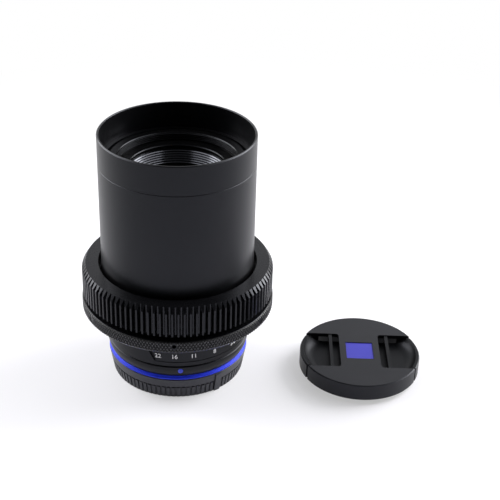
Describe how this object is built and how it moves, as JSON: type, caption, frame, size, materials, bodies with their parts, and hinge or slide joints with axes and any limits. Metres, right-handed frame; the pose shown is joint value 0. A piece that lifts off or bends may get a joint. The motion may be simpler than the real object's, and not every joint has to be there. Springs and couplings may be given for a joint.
{
  "type": "manual focus prime lens",
  "caption": "Manual focus prime lens with clicked aperture ring, reversed hood and clamped follow focus teeth, standing on its rear cap beside its pinch front cap.",
  "frame": {"origin": "the middle of the face that the rear cap stands on, on the optical axis", "axes": "+Z along the optical axis to the front of the lens, +X towards the front cap that lies beside it, -Y towards the side that shows the aperture numbers"},
  "size_m": [0.1524, 0.0842, 0.1142],
  "materials": {
    "cap_plastic": "satin moulded plastic",
    "mount_metal": "satin chrome",
    "steel": "plain",
    "black_plastic": "moulded",
    "contact_gold": "plated",
    "blue_rubber": "satin saturated blue",
    "barrel_black": "satin black anodised",
    "aperture_black": "smooth satin black anodised",
    "gear_black": "satin black anodised",
    "hood_black": "satin black anodised, matte inside",
    "matte_black": "flat black paint",
    "cell_black": "flat black anodised",
    "blade_black": "dry black coating",
    "lens_glass": "coated",
    "badge_blue": "plain blue inlay"
  },
  "bodies": {
    "barrel": {"bayonet_mount": "mount_metal", "mount_screws": "steel", "contact_block": "black_plastic", "contact_pins": "contact_gold", "seal_ring": "blue_rubber", "base_ring": "barrel_black", "rear_baffle": "black_plastic", "main_tube": "barrel_black", "guide_keys": "contact_gold", "click_ball": "steel", "click_spring": "steel", "scale_ring": "barrel_black"},
    "aperture_control": {"aperture_ring": "aperture_black", "aperture_link": "steel"},
    "focus_control": {"focus_ring": "barrel_black", "gear_ring": "gear_black", "clamp_insert": "black_plastic"},
    "clamp": {"clamp_ring": "gear_black"},
    "front_group": {"front_barrel": "barrel_black", "name_ring": "barrel_black", "light_baffle": "matte_black", "front_element": "lens_glass", "second_element": "lens_glass", "third_element": "lens_glass", "fourth_element": "lens_glass", "fifth_element": "lens_glass", "sixth_element": "lens_glass", "seventh_element": "lens_glass", "front_cell": "cell_black", "front_retainer": "matte_black", "middle_retainer": "cell_black", "rear_cell": "cell_black", "rear_retainer": "cell_black", "iris_housing": "cell_black", "iris_pins": "steel"},
    "iris_drive": {"iris_drive_ring": "steel"},
    "hood": {"hood_tube": "hood_black", "hood_bayonet_ring": "hood_black"},
    "rear_cap": {"rear_cap": "cap_plastic"},
    "front_cap": {"cap_body": "cap_plastic", "cap_badge": "badge_blue", "cap_spring_left": "steel", "cap_spring_right": "steel", "cap_retainer": "cap_plastic"},
    "cap_latch_left": {"cap_latch_left": "cap_plastic"},
    "cap_latch_right": {"cap_latch_right": "cap_plastic"},
    "iris_blade_01": {"iris_blade_01": "blade_black"},
    "iris_blade_02": {"iris_blade_02": "blade_black"},
    "iris_blade_03": {"iris_blade_03": "blade_black"},
    "iris_blade_04": {"iris_blade_04": "blade_black"},
    "iris_blade_05": {"iris_blade_05": "blade_black"},
    "iris_blade_06": {"iris_blade_06": "blade_black"},
    "iris_blade_07": {"iris_blade_07": "blade_black"},
    "iris_blade_08": {"iris_blade_08": "blade_black"},
    "iris_blade_09": {"iris_blade_09": "blade_black"},
    "iris_blade_10": {"iris_blade_10": "blade_black"}
  },
  "joints": [
    {"name": "aperture_turn", "type": "hinge", "parent": "barrel", "child": "aperture_control", "pos_m": [0, 0, 0.0243], "axis": [0, 0, 1], "range_deg": [-96.2, 17.7]},
    {"name": "focus_turn", "type": "hinge", "parent": "barrel", "child": "focus_control", "pos_m": [0, 0, 0.05], "axis": [0, 0, 1], "range_deg": [0, 220]},
    {"name": "clamp_turn", "type": "hinge", "parent": "focus_control", "child": "clamp", "pos_m": [0, 0, 0.0344], "axis": [0, 0, 1], "range_deg": [0, 120]},
    {"name": "focus_extension", "type": "slide", "parent": "barrel", "child": "front_group", "axis": [0, 0, 1], "range_m": [0, 0.0113]},
    {"name": "iris_drive_turn", "type": "hinge", "parent": "front_group", "child": "iris_drive", "pos_m": [0, 0, 0.0614], "axis": [0, 0, 1], "range_deg": [-97.2, 18.7]},
    {"name": "hood_turn", "type": "hinge", "parent": "front_group", "child": "hood", "pos_m": [0, 0, 0.1], "axis": [0, 0, 1], "range_deg": [0, 60]},
    {"name": "rear_cap_turn", "type": "hinge", "parent": "barrel", "child": "rear_cap", "pos_m": [0, 0, 0.005], "axis": [0, 0, 1], "range_deg": [0, 60]},
    {"name": "front_cap_lift", "type": "slide", "parent": "barrel", "child": "front_cap", "axis": [0, 0, 1], "range_m": [0, 0.04]},
    {"name": "cap_latch_right_pinch", "type": "slide", "parent": "front_cap", "child": "cap_latch_right", "axis": [-1, 0, 0], "range_m": [0, 0.002], "stiffness_N_per_m": 600, "springref_m": -0.002},
    {"name": "cap_latch_left_pinch", "type": "slide", "parent": "front_cap", "child": "cap_latch_left", "axis": [1, 0, 0], "range_m": [0, 0.002], "stiffness_N_per_m": 600, "springref_m": -0.002},
    {"name": "iris_blade_01_swing", "type": "hinge", "parent": "front_group", "child": "iris_blade_01", "pos_m": [0.0195, 0, 0.0569], "axis": [0, 0, 1], "range_deg": [-28.2, 6]},
    {"name": "iris_blade_02_swing", "type": "hinge", "parent": "front_group", "child": "iris_blade_02", "pos_m": [0.01578, 0.01146, 0.0572], "axis": [0, 0, 1], "range_deg": [-28.2, 6]},
    {"name": "iris_blade_03_swing", "type": "hinge", "parent": "front_group", "child": "iris_blade_03", "pos_m": [0.00603, 0.01855, 0.0575], "axis": [0, 0, 1], "range_deg": [-28.2, 6]},
    {"name": "iris_blade_04_swing", "type": "hinge", "parent": "front_group", "child": "iris_blade_04", "pos_m": [-0.00603, 0.01855, 0.0578], "axis": [0, 0, 1], "range_deg": [-28.2, 6]},
    {"name": "iris_blade_05_swing", "type": "hinge", "parent": "front_group", "child": "iris_blade_05", "pos_m": [-0.01578, 0.01146, 0.0581], "axis": [0, 0, 1], "range_deg": [-28.2, 6]},
    {"name": "iris_blade_06_swing", "type": "hinge", "parent": "front_group", "child": "iris_blade_06", "pos_m": [-0.0195, 0, 0.0584], "axis": [0, 0, 1], "range_deg": [-28.2, 6]},
    {"name": "iris_blade_07_swing", "type": "hinge", "parent": "front_group", "child": "iris_blade_07", "pos_m": [-0.01578, -0.01146, 0.0587], "axis": [0, 0, 1], "range_deg": [-28.2, 6]},
    {"name": "iris_blade_08_swing", "type": "hinge", "parent": "front_group", "child": "iris_blade_08", "pos_m": [-0.00603, -0.01855, 0.059], "axis": [0, 0, 1], "range_deg": [-28.2, 6]},
    {"name": "iris_blade_09_swing", "type": "hinge", "parent": "front_group", "child": "iris_blade_09", "pos_m": [0.00603, -0.01855, 0.0593], "axis": [0, 0, 1], "range_deg": [-28.2, 6]},
    {"name": "iris_blade_10_swing", "type": "hinge", "parent": "front_group", "child": "iris_blade_10", "pos_m": [0.01578, -0.01146, 0.0596], "axis": [0, 0, 1], "range_deg": [-28.2, 6]}
  ],
  "couplings": [
    {"joint": "focus_extension", "follows": "focus_turn", "m_per_rad": 0.0029428},
    {"joint": "iris_drive_turn", "follows": "aperture_turn", "ratio": 1},
    {"joint": "iris_blade_01_swing", "follows": "aperture_turn", "ratio": 0.288},
    {"joint": "iris_blade_02_swing", "follows": "aperture_turn", "ratio": 0.288},
    {"joint": "iris_blade_03_swing", "follows": "aperture_turn", "ratio": 0.288},
    {"joint": "iris_blade_04_swing", "follows": "aperture_turn", "ratio": 0.288},
    {"joint": "iris_blade_05_swing", "follows": "aperture_turn", "ratio": 0.288},
    {"joint": "iris_blade_06_swing", "follows": "aperture_turn", "ratio": 0.288},
    {"joint": "iris_blade_07_swing", "follows": "aperture_turn", "ratio": 0.288},
    {"joint": "iris_blade_08_swing", "follows": "aperture_turn", "ratio": 0.288},
    {"joint": "iris_blade_09_swing", "follows": "aperture_turn", "ratio": 0.288},
    {"joint": "iris_blade_10_swing", "follows": "aperture_turn", "ratio": 0.288}
  ]
}
